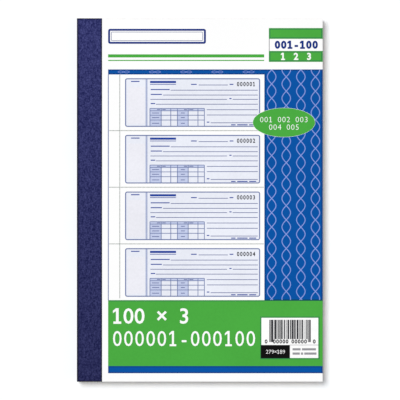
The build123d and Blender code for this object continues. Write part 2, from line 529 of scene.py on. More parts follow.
grey_board = board("grey_board", "back_cover", GREY_SHADES, GREY_FLECKS)
buff_card = board("buff_card", "writing_shield", BUFF_SHADES, BUFF_FLECKS)
print("materials", grey_board.name, "and", buff_card.name)

# %% [markdown]
# ## Binding tape
# The tape is navy, and in the photograph it is a little lighter towards the head of the book and darker
# towards the foot, which is painted here as light. It is also darker along its edges and at the spine,
# where it bends, which is painted shade. The grain comes from the shared group, the painted shade at the
# edges from the rim mask, and the rest from the place on the book: a bend is where the spine wall and a
# face of the book are both near. The spine is no edge, as the tape goes on round it, so the box of the
# rim mask reaches far past it.

# %% Leatherette tape
# the tape's colours in the creases and on the pebbles: partly grain tone, partly painted shade and highlight
TAPE_CREASE = seen(21, 25, 75)
TAPE_RUBBED_AND_LIT = seen(67, 70, 124)
# painted shade along the tape's cut edges: how far in it reaches and how dark it is
TAPE_EDGE, TAPE_EDGE_SHADE = 1.55 * MM, 0.7
# painted light along the tape, darker at the foot and lighter at the head
TAPE_PAINTED_LIGHT = (0.72, 1.2)
# painted shade where the tape bends round the spine
SPINE_BEND, SPINE_SHADE = 2.6 * MM, 0.25
PAST_SPINE = 50 * MM
GRAIN_DEPTH, GRAIN_RELIEF = 0.22 * MM, 0.6
TAPE_SHINE = 0.06


def painted_bend_shade(tree, spot):
    """The painted shade of the tape at its bends: a factor that falls towards the edges of the spine."""
    below_top = work(tree, "SUBTRACT", cad_high.z, spot["Z"])
    above_sole = work(tree, "SUBTRACT", spot["Z"], cad_low.z)
    from_face = work(tree, "MINIMUM", below_top, above_sole)
    from_bend = work(tree, "MAXIMUM", work(tree, "SUBTRACT", spot["X"], spine_x), from_face)
    return remap(tree, from_bend, (0.0, SPINE_BEND), (SPINE_SHADE, 1.0), smooth=True)


def leatherette():
    """Navy cloth tape with an embossed leather grain, painted light towards the head and painted shade at its
    edges and bends.
    """
    material, tree, shader = new_material("binding_tape")
    grain = use_group(tree, leather_grain, {"Crease": TAPE_CREASE, "Rubbed_and_lit": TAPE_RUBBED_AND_LIT})
    spot = parts_of(tree, object_spot(tree))
    # painted light: darker towards the foot of the book, lighter towards the head
    painted_light_gradient = remap(tree, spot["Y"], (foot_y, head_y), TAPE_PAINTED_LIGHT)
    low, high = (spine_x - PAST_SPINE, foot_y, cad_low.z), (tape_edge_x, head_y, cad_high.z)
    # painted shade: the tape is drawn darker along its cut edges
    painted_edge_shade = rim_factor(tree, low, high, TAPE_EDGE, TAPE_EDGE_SHADE)
    # painted shade at the edges and at the bends of the spine, together
    edges = work(tree, "MULTIPLY", painted_edge_shade, painted_bend_shade(tree, spot))
    feed(tree, shader, {
        "Base Color": lighten(tree, grain["Colour"], work(tree, "MULTIPLY", painted_light_gradient, edges)),
        "Roughness": grain["Roughness"],
        "Specular IOR Level": TAPE_SHINE,
        "Normal": raised(tree, grain["Height"], GRAIN_DEPTH, GRAIN_RELIEF),
    })
    return material


tape_cloth = leatherette()
print("material", tape_cloth.name)

# %% [markdown]
# ## Staple wire
# The staples are flat stitching wire, drawn through a die, so fine lines run along it. They hide under
# the tape and show only if the book is taken apart, but they get a finish of their own all the same.
# An anisotropic highlight would hint at the lines, while drawn-out noise shows them.

# %% Drawn steel wire
WIRE_LINES_PER_METRE = 9000
WIRE_DRAW = (1.0, 0.02, 0.02)
WIRE_DARK, WIRE_BRIGHT = (0.46, 0.46, 0.47, 1.0), (0.68, 0.68, 0.69, 1.0)
WIRE_ROUGHNESS = (0.28, 0.48)
BARE_METAL = 1.0


def drawn_wire():
    """Bright steel wire with lines along it."""
    material, tree, shader = new_material("staple_wire")
    lines = noise(tree, object_spot(tree), WIRE_LINES_PER_METRE, draw=WIRE_DRAW)
    feed(tree, shader, {
        "Base Color": tint(tree, lines, WIRE_DARK, WIRE_BRIGHT),
        "Roughness": remap(tree, lines, NOISE_SPAN, WIRE_ROUGHNESS),
        "Metallic": BARE_METAL,
    })
    return material


staple_wire = drawn_wire()
print("material", staple_wire.name)

# %% [markdown]
# ## Finishes on the solids
# The solids of the tape, the cards, the staples and the first set have the right shape, so they stay and
# only take a material. A solid's name says what it is, which is enough to choose its finish.

# %% Dress the solids
FINISHES = {
    "spine_tape": tape_cloth,
    "front_tape_flap": tape_cloth,
    "back_tape_flap": tape_cloth,
    "staples": staple_wire,
    "front_cover": cover_card,
    "front_cover_bound_strip": cover_card,
    "back_cover": grey_board,
    "back_cover_bound_strip": grey_board,
    "writing_shield": buff_card,
}
for node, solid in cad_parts.items():
    finish = FINISHES.get(node) or papers[node.split("_")[0]]
    solid.data.materials.clear()
    solid.data.materials.append(finish)
print("dressed", len(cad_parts), "solids")

# %% [markdown]
# ## Films of ink
# Printing could be painted by a shader, but then every line would be a sum of masks and would blur in
# an exported texture. Here each ink is a film, a flat shape with a little thickness, as it is on real
# card. A shape is a list of flat faces, and a film is those faces closed with a bottom and with walls.

# %% From flat faces to films
MERGE_DISTANCE = 1e-7


def add_film(bm, faces, sole_z, top_z, ink_index=0):
    """Close flat faces to a thin solid between two levels and add it to a mesh."""
    flat = bmesh.new()
    for corners in faces:
        flat.faces.new([flat.verts.new((x, y, sole_z)) for x, y in corners])
    bmesh.ops.remove_doubles(flat, verts=flat.verts, dist=MERGE_DISTANCE)
    grown = bmesh.ops.extrude_face_region(flat, geom=flat.faces[:], use_keep_orig=True)
    for part in grown["geom"]:
        if isinstance(part, bmesh.types.BMVert):
            part.co.z = top_z
    bmesh.ops.recalc_face_normals(flat, faces=flat.faces)
    for face in flat.faces:
        face.material_index = ink_index
    carrier = bpy.data.meshes.new("film")
    flat.to_mesh(carrier)
    flat.free()
    bm.from_mesh(carrier)
    bpy.data.meshes.remove(carrier)


print("corners of a film closer than", MERGE_DISTANCE, "m become one")

# %% [markdown]
# ## Pieces
# A film is still loose geometry. A piece is an object with a mesh, a name and materials, and it rides on
# the body of the book that carries it, as a child of that body's empty, so that it goes along when that
# body turns.

# %% From films to pieces
def to_scene(name, data):
    """Make an object of a mesh, curve, lamp or camera and put it in the scene."""
    thing = bpy.data.objects.new(name, data)
    bpy.context.scene.collection.objects.link(thing)
    return thing


def new_mesh(name, bm, materials):
    """A mesh of what was built, with its materials."""
    mesh = bpy.data.meshes.new(name)
    bm.to_mesh(mesh)
    bm.free()
    for material in materials:
        mesh.materials.append(material)
    return mesh


def new_piece(name, bm, materials, body):
    """Make a piece of what was built and let it ride on a body of the book."""
    piece = to_scene(name, new_mesh(name, bm, materials))
    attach(piece, body)
    return piece


# %% [markdown]
# ## Straight shapes
# Printing is drawn in millimetres, across and down from a corner, as a printer lays out a page. A curve
# object could draw each line, but a line is only a rectangle, and four corners in code make that. The
# spot function that each shape is given turns such a place into a point of the frame, so one drawing can
# be printed in several places and sizes. The plain spot leaves a place as it is.

# %% Outlines, bars and lines
def plain_spot(across, down):
    """A place as it is given."""
    return (across, down)


def together(shapes):
    """Several shapes as one list of faces."""
    return [face for shape in shapes for face in shape]


def outline(spot, points):
    """A filled shape with straight edges."""
    return [[spot(*point) for point in points]]


def box_loop(left, right, top, bottom):
    """The corners of a rectangle, in order."""
    return [(left, bottom), (right, bottom), (right, top), (left, top)]


def drawn_in(edges, inset):
    """The edges of a rectangle, each moved inwards."""
    left, right, top, bottom = edges
    return left + inset, right - inset, top + inset, bottom - inset


def bar(spot, left, right, top, bottom):
    """A filled rectangle."""
    return outline(spot, box_loop(left, right, top, bottom))


def rule(spot, left, right, down, weight):
    """A line across the page."""
    return bar(spot, left, right, down - weight / 2, down + weight / 2)


def post(spot, across, top, bottom, weight):
    """A line down the page."""
    return bar(spot, across - weight / 2, across + weight / 2, top, bottom)


print("a line across from 0 to 9 at 5:", rule(plain_spot, 0, 9, 5, 1))

# %% [markdown]
# ## Rounded shapes
# A frame is a ring: two loops with as many points, and a face from each pair of points to the next. It
# could also be a filled shape with a smaller one cut out of it, but a ring has no cut to go wrong.

# %% Rings and rounded rectangles
CORNER_STEPS = 6
QUARTER = 90.0


def rounded_loop(left, right, top, bottom, radius):
    """The points of a rectangle with rounded corners, in order."""
    near, far = left + radius, right - radius
    high, low = top + radius, bottom - radius
    loop = []
    for turn, (across, down) in enumerate(((far, low), (near, low), (near, high), (far, high))):
        for step in range(CORNER_STEPS + 1):
            angle = math.radians(QUARTER * (turn + step / CORNER_STEPS))
            loop.append((across + radius * math.cos(angle), down + radius * math.sin(angle)))
    return loop


def rounded_bar(spot, edges, radius):
    """A filled rectangle with rounded corners."""
    return outline(spot, reversed(rounded_loop(*edges, radius)))


def ring(spot, outer, inner):
    """The band between two loops of as many points. Its first face closes the loops."""
    return together(
        outline(spot, (outer[i - 1], inner[i - 1], inner[i], outer[i])) for i in range(len(outer))
    )


def rounded_ring(spot, edges, radius, weight):
    """A frame with rounded corners, its line inside the given edges."""
    outer = rounded_loop(*edges, radius)
    inner = rounded_loop(*drawn_in(edges, weight), radius - weight)
    return ring(spot, outer, inner)


print("a rounded frame has", len(rounded_ring(plain_spot, (0, 9, 0, 9), 2, 1)), "faces")

# %% [markdown]
# ## Ovals and ribbons
# A curve with a bevel would draw a wavy line too, but it comes out as a round tube. A ribbon is flat: at
# each point of its line it steps half its width to either side, square to the way the line runs.

# %% Ovals and ribbons
OVAL_STEPS = 72


def oval(spot, across, down, half_width, half_height):
    """A filled ellipse."""
    turns = [math.tau * step / OVAL_STEPS for step in range(OVAL_STEPS)]
    points = [(across + half_width * math.cos(t), down - half_height * math.sin(t)) for t in turns]
    return outline(spot, points)


def ribbon(spot, points, weight):
    """A band of even width along a smooth line of points."""
    edges = []
    for i, (across, down) in enumerate(points):
        ahead = points[min(i + 1, len(points) - 1)]
        behind = points[max(i - 1, 0)]
        run = (ahead[0] - behind[0], ahead[1] - behind[1])
        length = math.hypot(*run)
        side = (-run[1] / length * weight / 2, run[0] / length * weight / 2)
        edges.append(((across - side[0], down - side[1]), (across + side[0], down + side[1])))
    pairs = zip(edges, edges[1:])
    return together(outline(spot, (start[0], start[1], end[1], end[0])) for start, end in pairs)


print("an oval has", len(oval(plain_spot, 0, 0, 2, 1)[0]), "corners")

# %% [markdown]
# ## Single figures
# A numbering machine stamps plain figures. Blender's own font has them all, but its one is a bare stroke
# that could be taken for a line. So the one gets a shape of its own, with a flag and a foot.

# %% Shape of the one
FIGURE_STROKE = 0.15
ONE_FOOT, ONE_BASE = 0.24, 0.85
ONE_FLAG, ONE_FLAG_TOP, ONE_FLAG_SLOPE = 0.27, 0.84, 1.3


def one_shape(boldness):
    """The figure one, a unit tall, with its stem at zero."""
    stem = FIGURE_STROKE / 2 + boldness
    foot = ONE_FOOT + boldness
    flag = ONE_FLAG + boldness
    base = 2 * stem * ONE_BASE
    return [[
        (-foot, 0), (foot, 0), (foot, base), (stem, base), (stem, 1), (-stem, 1),
        (-flag, ONE_FLAG_TOP), (-flag, ONE_FLAG_TOP - base), (-stem, 1 - ONE_FLAG_SLOPE * base),
        (-stem, base), (-foot, base),
    ]]


print("a one has", len(one_shape(0.0)[0]), "corners")

# %% [markdown]
# ## Figures of the font
# The other figures come from the font. A text object of one figure is turned into flat faces, which are
# brought to a height of one later. Along a straight edge with points on it the font can leave slivers,
# triangles without area. Deleting them would leave holes, while turning the longest edge of a sliver
# gives it some area.

# %% Shapes from the font
CURVE_STEPS = 3
SLIVER_AREA = 1e-6


def open_slivers(shape):
    """Turn the longest edge of each triangle without area, the longest one first."""
    slivers = [face for face in shape.faces if face.calc_area() < SLIVER_AREA]
    longest = [max(face.edges, key=lambda edge: edge.calc_length()) for face in slivers]
    for edge in sorted(longest, key=lambda edge: edge.calc_length(), reverse=True):
        bmesh.ops.rotate_edges(shape, edges=[edge])


def font_faces(character, boldness):
    """The flat faces of a character of Blender's font, as its own curve gives them."""
    curve = bpy.data.curves.new("figure", "FONT")
    curve.body = character
    curve.offset = boldness
    curve.resolution_u = CURVE_STEPS
    holder = to_scene("figure", curve)
    bpy.context.view_layer.update()
    flat = bpy.data.meshes.new_from_object(holder)
    shape = bmesh.new()
    shape.from_mesh(flat)
    open_slivers(shape)
    faces = [[(vertex.co.x, vertex.co.y) for vertex in face.verts] for face in shape.faces]
    shape.free()
    bpy.data.objects.remove(holder)
    bpy.data.curves.remove(curve)
    bpy.data.meshes.remove(flat)
    return faces


def spans(faces):
    """The left, right, lowest and highest place of some faces."""
    across = [x for corners in faces for x, _ in corners]
    up = [y for corners in faces for _, y in corners]
    return min(across), max(across), min(up), max(up)


print("a nought of the font measures", [round(edge, 2) for edge in spans(font_faces("0", 0.0))])

# %% [markdown]
# ## Rows of figures
# The wheels of a numbering machine give each figure the same room, and so does a row here. Each shape
# is made once for each boldness and kept, because the forms print the same figures many times over.

# %% Rows of figures in equal cells
HALFWAY = 0.5

figure_shapes = {}


def figure(character, boldness):
    """The faces of one figure or sign, a unit tall where it is a figure, and centred on zero."""
    key = (character, boldness)
    if key not in figure_shapes:
        if character == "1":
            figure_shapes[key] = one_shape(boldness)
        else:
            _, _, base, top = spans(font_faces("0", boldness))
            faces = font_faces(character, boldness)
            left, right, _, _ = spans(faces)
            middle, size = (left + right) / 2, top - base
            figure_shapes[key] = [[((x - middle) / size, (y - base) / size) for x, y in f] for f in faces]
    return figure_shapes[key]


def figures(spot, text, edges, boldness=0.0, width=1.0):
    """A row of figures in equal cells between four edges of the page. A space is an empty cell."""
    left, right, top, bottom = edges
    cell = (right - left) / len(text)
    height = bottom - top
    faces = []
    for place_in_row, character in enumerate(text):
        if character == " ":
            continue
        middle = left + cell * (place_in_row + HALFWAY)
        for corners in figure(character, boldness):
            faces += outline(spot, [(middle + x * height * width, bottom - y * height) for x, y in corners])
    return faces


print("a six-figure number has", len(figures(plain_spot, "000001", (0, 6, 0, 1))), "faces")

# %% [markdown]
# ## Inks
# The cover is printed in a strong blue, a fresh green and a few tones between blue and white. An ink is
# a coated surface of its own colour, so each is the print mottle group with another colour in it. The
# clear inks are thin, and on yellow or pink paper the paper shows through them.

# %% Colours of the inks
CLEAR_INKS = ("pale", "tint", "band", "frame")
INK_COLOURS = {
    "blue": seen(2, 82, 163),
    "green": seen(74, 170, 65),
    "lavender": seen(138, 156, 222),
    "white": seen(254, 254, 254),
    "navy": seen(18, 48, 128),
    "black": seen(14, 13, 14),
    "charcoal": seen(62, 62, 66),
    "heading": seen(34, 66, 156),
    "line": seen(80, 90, 146),
    "frame": seen(108, 122, 168),
    "band": seen(172, 181, 211),
    "perforation": seen(166, 172, 168),
    "wash": seen(235, 238, 248),
    "pale": seen(238, 238, 246),
    "tint": seen(197, 206, 235),
    "serial": seen(32, 32, 40),
    "grey": seen(152, 152, 156),
    "forest": seen(54, 134, 76),
    "deep": seen(10, 60, 126),
    "trap": seen(12, 68, 84),
}
for colour in ("yellow", "pink"):
    for clear_ink in CLEAR_INKS:
        on_paper = printed_over(INK_COLOURS[clear_ink], PAPER_COLOURS[colour])
        INK_COLOURS[f"{clear_ink}_on_{colour}"] = on_paper
print(len(CLEAR_INKS), "of the inks let the colour of the paper through")

# %% Ink materials
INK_SHINE = 0.03
INK_MOTTLE = 0.04


def ink(name, colour):
    """A printed film of one colour."""
    material, tree, shader = new_material(f"ink_{name}")
    film = use_group(tree, print_mottle, {"Colour": colour, "Mottle": INK_MOTTLE})
    feed(tree, shader, {
        "Base Color": film["Colour"],
        "Roughness": film["Roughness"],
        "Specular IOR Level": INK_SHINE,
    })
    return material


inks = {name: ink(name, colour) for name, colour in INK_COLOURS.items()}
print(len(inks), "inks")

# %% [markdown]
# ## Frame and account of a receipt
# Each leaf carries four receipts of one form: a rounded frame, a column for notes at the left, lines to
# write on, a small table for the account, and a serial number. The form is drawn by functions, because
# it is printed on the leaves at full size and once more, smaller, on the cover. Its sizes are
# millimetres from the tear line and from the head of a receipt.

# %% Frame, account and tinted cells
FORM = FORM_LEFT, FORM_RIGHT, FORM_TOP, FORM_BOTTOM = 6.5, 168.5, 5.3, 65.2
FORM_CORNER = 2.6
FRAME_WEIGHT, POST_WEIGHT = 0.58, 0.39
ACCOUNT_LEFT, ACCOUNT_RIGHT, ACCOUNT_TOP, ACCOUNT_HEAD = 36.3, 101.6, 42.5, 45.4
ACCOUNT_CLEAR = 0.4
ACCOUNT_BOTTOM = FORM_BOTTOM - ACCOUNT_CLEAR
ACCOUNT_ROWS = (50.9, 56.8)
ACCOUNT_COLUMNS = (49.8, 61.3, 69.3, 82.2, 93.9)


def form_posts(spot, bold):
    """The upright lines of the account."""
    places = (ACCOUNT_LEFT, *ACCOUNT_COLUMNS, ACCOUNT_RIGHT)
    return together(post(spot, across, ACCOUNT_TOP, ACCOUNT_BOTTOM, POST_WEIGHT * bold) for across in places)


def form_frame(spot, bold):
    """The rounded frame of a receipt and the level lines of its account."""
    places = (ACCOUNT_TOP, ACCOUNT_HEAD, *ACCOUNT_ROWS)
    levels = together(rule(spot, ACCOUNT_LEFT, ACCOUNT_RIGHT, down, POST_WEIGHT * bold) for down in places)
    return rounded_ring(spot, FORM, FORM_CORNER, FRAME_WEIGHT * bold) + levels


def form_tints(spot):
    """The tinted cells of the account as one shape: its head, with two columns hanging from it."""
    first_end, _, second_start, second_end, _ = ACCOUNT_COLUMNS
    return outline(spot, (
        (ACCOUNT_LEFT, ACCOUNT_BOTTOM), (first_end, ACCOUNT_BOTTOM), (first_end, ACCOUNT_HEAD),
        (second_start, ACCOUNT_HEAD), (second_start, ACCOUNT_BOTTOM), (second_end, ACCOUNT_BOTTOM),
        (second_end, ACCOUNT_HEAD), (ACCOUNT_RIGHT, ACCOUNT_HEAD), (ACCOUNT_RIGHT, ACCOUNT_TOP),
        (ACCOUNT_LEFT, ACCOUNT_TOP),
    ))


print("an account has", len(form_posts(plain_spot, 1.0)), "upright lines")

# %% [markdown]
# ## Lines and marks of a receipt
# The lines to write on begin after short plain bars, and a thick and a thin bar head the form. Each bar
# or line is a row of edges in millimetres, so a form is changed by changing a row.

# %% Lines to write on, bars and marks
RULE_WEIGHT = 0.34
WRITING_LEFT, WRITING_RIGHT = 36.8, 165.7
WRITING_LINES = (
    (94.7, 129.8, 13.6), (61.2, WRITING_RIGHT, 20.0), (52.0, WRITING_RIGHT, 26.0),
    (WRITING_LEFT, 128.8, 31.3), (135.5, WRITING_RIGHT, 31.3), (43.5, WRITING_RIGHT, 37.3),
    (104.5, WRITING_RIGHT, 44.1), (104.5, WRITING_RIGHT, 50.6), (109.1, WRITING_RIGHT, 60.2),
)
HEADING_BARS = ((36.4, 67.6, 8.6, 11.2), (36.4, 67.6, 12.4, 13.2))
MARK_HEIGHT, CELL_MARK_HEIGHT = 1.2, 0.8
MARKS = (
    (13.6, 23.8, 9.2), (85.6, 92.4, 12.8), (131.9, 136.4, 12.8), (37.2, 60.0, 19.2),
    (37.2, 50.6, 25.2), (131.6, 134.2, 30.4), (37.2, 42.6, 36.5), (104.5, 107.6, 59.4),
    (133.7, 139.0, 62.7), (141.0, 153.4, 62.7), (155.4, 163.7, 62.7),
)
CELL_MARKS = ((38.8, 47.4), (73.4, 78.2))
ACCOUNT_HEAD_MARKS = ((44.8, 48.6), (51.0, 55.2), (77.0, 81.0), (83.4, 88.4))


def form_rules(spot, bold):
    """The lines to write on."""
    return together(rule(spot, *line, RULE_WEIGHT * bold) for line in WRITING_LINES)


def form_marks(spot):
    """The bars of the heading and the short bars at the lines."""
    heading = together(bar(spot, *edges) for edges in HEADING_BARS)
    return heading + together(rule(spot, *mark, MARK_HEIGHT) for mark in MARKS)


def form_cell_marks(spot):
    """The small bars in the tinted cells."""
    levels = (ACCOUNT_HEAD, *ACCOUNT_ROWS, ACCOUNT_BOTTOM)
    cells = [(*ends, (top + bottom) / 2) for top, bottom in zip(levels, levels[1:]) for ends in CELL_MARKS]
    cells += [(*ends, (ACCOUNT_TOP + ACCOUNT_HEAD) / 2) for ends in ACCOUNT_HEAD_MARKS]
    return together(rule(spot, *cell, CELL_MARK_HEIGHT) for cell in cells)


print("a form has", len(form_rules(plain_spot, 1.0)), "lines and", len(form_marks(plain_spot)), "marks")

# %% [markdown]
# ## The whole receipt
# Films that overlap must not end at the same height, or the renderer can't tell which one is on top. So
# each part of the form comes with its ink and a level, which whoever prints it turns into a height.

# %% Draw one receipt form
NOTES_FIELD = (9.9, 30.3, 15.9, 61.3)
NOTES_EDGE, NOTES_BAND, BAND_INSET = 32.2, 2.3, 0.5
SERIAL_PLACE = (140.2, 163.0, 9.7, 15.2)
SERIAL_BOLDNESS, SERIAL_WIDTH = 0.011, 0.8
WASH, DOWN_LINES, ACROSS_LINES = 1.0, 2.0, 2.2


def draw_form(spot, number, bold=1.0):
    """All the printing of a receipt, as (ink, level, faces)."""
    serial = figures(spot, f"{number:06d}", SERIAL_PLACE, SERIAL_BOLDNESS * bold, SERIAL_WIDTH)
    band = post(spot, NOTES_EDGE, FORM_TOP + BAND_INSET, FORM_BOTTOM - BAND_INSET, NOTES_BAND)
    return [
        ("pale", WASH, bar(spot, *NOTES_FIELD)),
        ("tint", WASH, form_tints(spot)),
        ("band", WASH, band),
        ("frame", DOWN_LINES, form_posts(spot, bold)),
        ("frame", ACROSS_LINES, form_frame(spot, bold)),
        ("line", DOWN_LINES, form_rules(spot, bold) + form_cell_marks(spot)),
        ("heading", DOWN_LINES, form_marks(spot)),
        ("serial", DOWN_LINES, serial),
    ]


parts_of_form = draw_form(plain_spot, 1)
print("a form has", sum(len(faces) for _, _, faces in parts_of_form), "faces in", len(parts_of_form), "parts")

# %% [markdown]
# ## Fields of the cover
# The cover is laid out in millimetres from the head of the spine. A blue panel with a header bar runs
# down the fore-edge, a green field and a blue stripe close the foot, two green boxes stand at the head,
# and a white field shows a leaf of the book. Here too films that overlap lie on levels of their own.

# %% Fields of colour
PAGE_WIDTH = (fore_edge_x - spine_x) / MM
LEFT_MARGIN = 24.0
PANEL_LEFT, PANEL_TOP, PANEL_BOTTOM = 144.15, 39.3, 216.7
HEADER_BOTTOM = 43.2
STRIPE_TOP, STRIPE_BOTTOM = 267.4, 272.9
GREEN_FIELD = (LEFT_MARGIN, PAGE_WIDTH, PANEL_BOTTOM, STRIPE_TOP)
STRIPE = (LEFT_MARGIN, PAGE_WIDTH, STRIPE_TOP, STRIPE_BOTTOM)
BOX_LEFT, BOX_BORDER = 147.6, 0.6
BOX_GAP = (15.8, 25.1)
UPPER_BOX = (BOX_LEFT, PAGE_WIDTH, 7.5, BOX_GAP[0])
LOWER_BOX = (BOX_LEFT, PAGE_WIDTH, BOX_GAP[1], 33.5)
COVER_LEVEL = 0.02 * MM
GROUND, RIMS, OVER, LINES, TOPS, HIGHER, HIGHEST = 1.0, 1.5, 2.0, 3.0, 4.0, 5.0, 6.0


def cover_spot(across, down):
    """A place on the cover, from the head of the spine, as a point of the frame."""
    return (spine_x + across * MM, head_y - down * MM)


def panel_loop(inset=0.0):
    """The outline of the panel and its header bar, drawn in by an inset."""
    left, panel_left, right = LEFT_MARGIN + inset, PANEL_LEFT + inset, PAGE_WIDTH - inset
    top, header_bottom, bottom = PANEL_TOP + inset, HEADER_BOTTOM - inset, PANEL_BOTTOM - inset
    return [
        (right, bottom), (right, top), (left, top),
        (left, header_bottom), (panel_left, header_bottom), (panel_left, bottom),
    ]


cover_drawing = [
    ("blue", GROUND, outline(cover_spot, panel_loop())),
    ("blue", GROUND, bar(cover_spot, *STRIPE)),
    ("green", GROUND, bar(cover_spot, *GREEN_FIELD)),
    ("green", GROUND, bar(cover_spot, *UPPER_BOX)),
    ("green", GROUND, bar(cover_spot, *LOWER_BOX)),
    ("grey", GROUND, bar(cover_spot, BOX_LEFT, BOX_LEFT + BOX_BORDER, *BOX_GAP)),
]
print("cover", round(PAGE_WIDTH, 1), "mm wide,", len(cover_drawing), "fields")

# %% [markdown]
# ## Squeezed edges
# A press squeezes ink towards the edges of a field, where it dries in a darker line. Where the green
# meets the blue panel the two inks overlap a little, which is darker still. A mask in the shader could
# darken the edges, but each field would need a mask of its own, while a thin ring is drawn in one line.

# %% Darker edges of the fields
SQUEEZE_START, SQUEEZE_END = 0.2, 0.95
BOX_SQUEEZE = (0.35, 1.15)
TRAP_TOP, TRAP_BOTTOM = 216.2, 217.15


def squeezed(edges, start=SQUEEZE_START, end=SQUEEZE_END):
    """The darker line along the edges of a field, between two distances inwards from them."""
    outer, inner = (box_loop(*drawn_in(edges, inset)) for inset in (start, end))
    return ring(cover_spot, outer, inner)


open_below = ring(cover_spot, panel_loop(SQUEEZE_START), panel_loop(SQUEEZE_END))[1:]
field_top = PANEL_BOTTOM + SQUEEZE_START, PANEL_BOTTOM + SQUEEZE_END
cover_drawing += [
    ("deep", RIMS, open_below),
    ("deep", RIMS, squeezed(STRIPE)),
    ("forest", RIMS, squeezed(UPPER_BOX, *BOX_SQUEEZE)),
    ("forest", RIMS, squeezed(LOWER_BOX, *BOX_SQUEEZE)),
    ("forest", RIMS, bar(cover_spot, LEFT_MARGIN, PANEL_LEFT, *field_top)),
    ("trap", RIMS, bar(cover_spot, PANEL_LEFT, PAGE_WIDTH, TRAP_TOP, TRAP_BOTTOM)),
]
print("squeezed edges", round(SQUEEZE_END - SQUEEZE_START, 2), "mm wide")

# %% [markdown]
# ## Braided bands
# The blue ground carries a pale braid, the kind of wavy line work that printed forms often have. A wave
# texture could draw it, but not as a film with a clean edge. A band is two sine waves half a turn apart.
# The one lies a level above the other, so they cross as a plait. On the narrow bar at the top there is
# room only for short pieces of it, one wave long.

# %% Braids on the blue
BRAID_COLUMNS = 4
BRAID_SWING, BRAID_WAVE, BRAID_WEIGHT = 3.3, 22.0, 0.68
BRAID_INSET = 0.2
BRAID_STEP = 0.75
HEADER_SWING, HEADER_WAVE, HEADER_WEIGHT = 0.8, 9.0, 0.3
HEADER_STEP = 24.0
HEADER_PIECES = int((PANEL_LEFT - LEFT_MARGIN) // HEADER_STEP)
HEADER_MIDDLE = (PANEL_TOP + HEADER_BOTTOM) / 2


def wave(start, end, middle, swing, length, turn):
    """Points of a sine wave: how far along, and how far aside."""
    count = round((end - start) / BRAID_STEP)
    runs = [(end - start) * i / count for i in range(count + 1)]
    return [(start + run, middle + swing * math.sin(math.tau * run / length + turn)) for run in runs]


braid_top, braid_bottom = PANEL_TOP + BRAID_INSET, PANEL_BOTTOM - BRAID_INSET
for turn, level in ((0.0, OVER), (math.pi, LINES)):
    for column in range(BRAID_COLUMNS):
        middle = PANEL_LEFT + (PAGE_WIDTH - PANEL_LEFT) * (column + HALFWAY) / BRAID_COLUMNS
        lagging = turn + math.pi * column / 2
        line = wave(braid_top, braid_bottom, middle, BRAID_SWING, BRAID_WAVE, lagging)
        band = ribbon(cover_spot, [(aside, along) for along, aside in line], BRAID_WEIGHT)
        cover_drawing.append(("lavender", level, band))
    for column in range(HEADER_PIECES):
        start = LEFT_MARGIN + HEADER_STEP * (column + HALFWAY) - HEADER_WAVE / 2
        line = wave(start, start + HEADER_WAVE, HEADER_MIDDLE, HEADER_SWING, HEADER_WAVE, turn)
        cover_drawing.append(("lavender", level, ribbon(cover_spot, line, HEADER_WEIGHT)))
print(BRAID_COLUMNS, "braided bands and", HEADER_PIECES, "short pieces")

# %% [markdown]
# ## Head of the cover
# The head holds a framed plate to write a name in, a double rule below it, and a small box at the
# fore-edge with two rows of plain numbers: the sets, from first to last, and the three parts of each.
# All of it is rings, lines and rows of figures, so the helpers above draw it.

# %% Plate, rules and numbers at the head
PLATE = (LEFT_MARGIN, 99.2, 8.1, 19.6)
PLATE_CORNER, PLATE_LINE = 1.6, 1.5
HAIR_INSET, HAIR_CORNER, HAIR_LINE = 2.3, 0.8, 0.35
RULE_RIGHT = 144.0
DOUBLE_RULE = ((28.9, 2.4), (32.4, 0.8))
SETS_PLACE, PARTS_PLACE = (151.8, 185.6, 17.2, 23.5), (156.0, 181.0, 26.5, 32.1)
SETS_BOLDNESS, PARTS_BOLDNESS = 0.055, 0.03


def measures(edges):
    """The width and height of a rectangle, in words."""
    left, right, top, bottom = edges
    return f"{right - left:.1f} by {bottom - top:.1f} mm"


plate = rounded_ring(cover_spot, PLATE, PLATE_CORNER, PLATE_LINE)
hair_line = rounded_ring(cover_spot, drawn_in(PLATE, HAIR_INSET), HAIR_CORNER, HAIR_LINE)
double_rule = together(rule(cover_spot, LEFT_MARGIN, RULE_RIGHT, *line) for line in DOUBLE_RULE)
cover_drawing += [
    ("navy", GROUND, plate + hair_line),
    ("green", GROUND, double_rule),
    ("navy", GROUND, figures(cover_spot, "001-100", SETS_PLACE, SETS_BOLDNESS)),
    ("white", OVER, figures(cover_spot, "1 2 3", PARTS_PLACE, PARTS_BOLDNESS)),
]
print("plate", measures(PLATE))

# %% [markdown]
# ## Picture of a leaf
# The white field shows one leaf of the book at about six tenths of its size: the stub, the tear lines
# and the four receipts, numbered from one. The form function draws it again at that scale. Its lines are
# drawn bolder here, or they would be thinner than the eye can see.

# %% Four small receipts on the cover
PICTURE_FORM_LEFT, PICTURE_FORM_RIGHT = 37.05, 140.9
PICTURE_TOP, PICTURE_PITCH = 42.8, 43.55
PICTURE_ACROSS = (PICTURE_FORM_RIGHT - PICTURE_FORM_LEFT) / (FORM_RIGHT - FORM_LEFT)
PICTURE_DOWN = PICTURE_PITCH * MM / receipt_height
PICTURE_BOLD = 2.2
ALL_RECEIPTS = range(1, RECEIPTS + 1)


def picture_spot(number):
    """A spot function for one receipt of the picture, counted from the head."""
    head = PICTURE_TOP + (number - 1) * PICTURE_PITCH

    def spot(across, down):
        picture_across = PICTURE_FORM_LEFT + (across - FORM_LEFT) * PICTURE_ACROSS
        return cover_spot(picture_across, head + down * PICTURE_DOWN)

    return spot


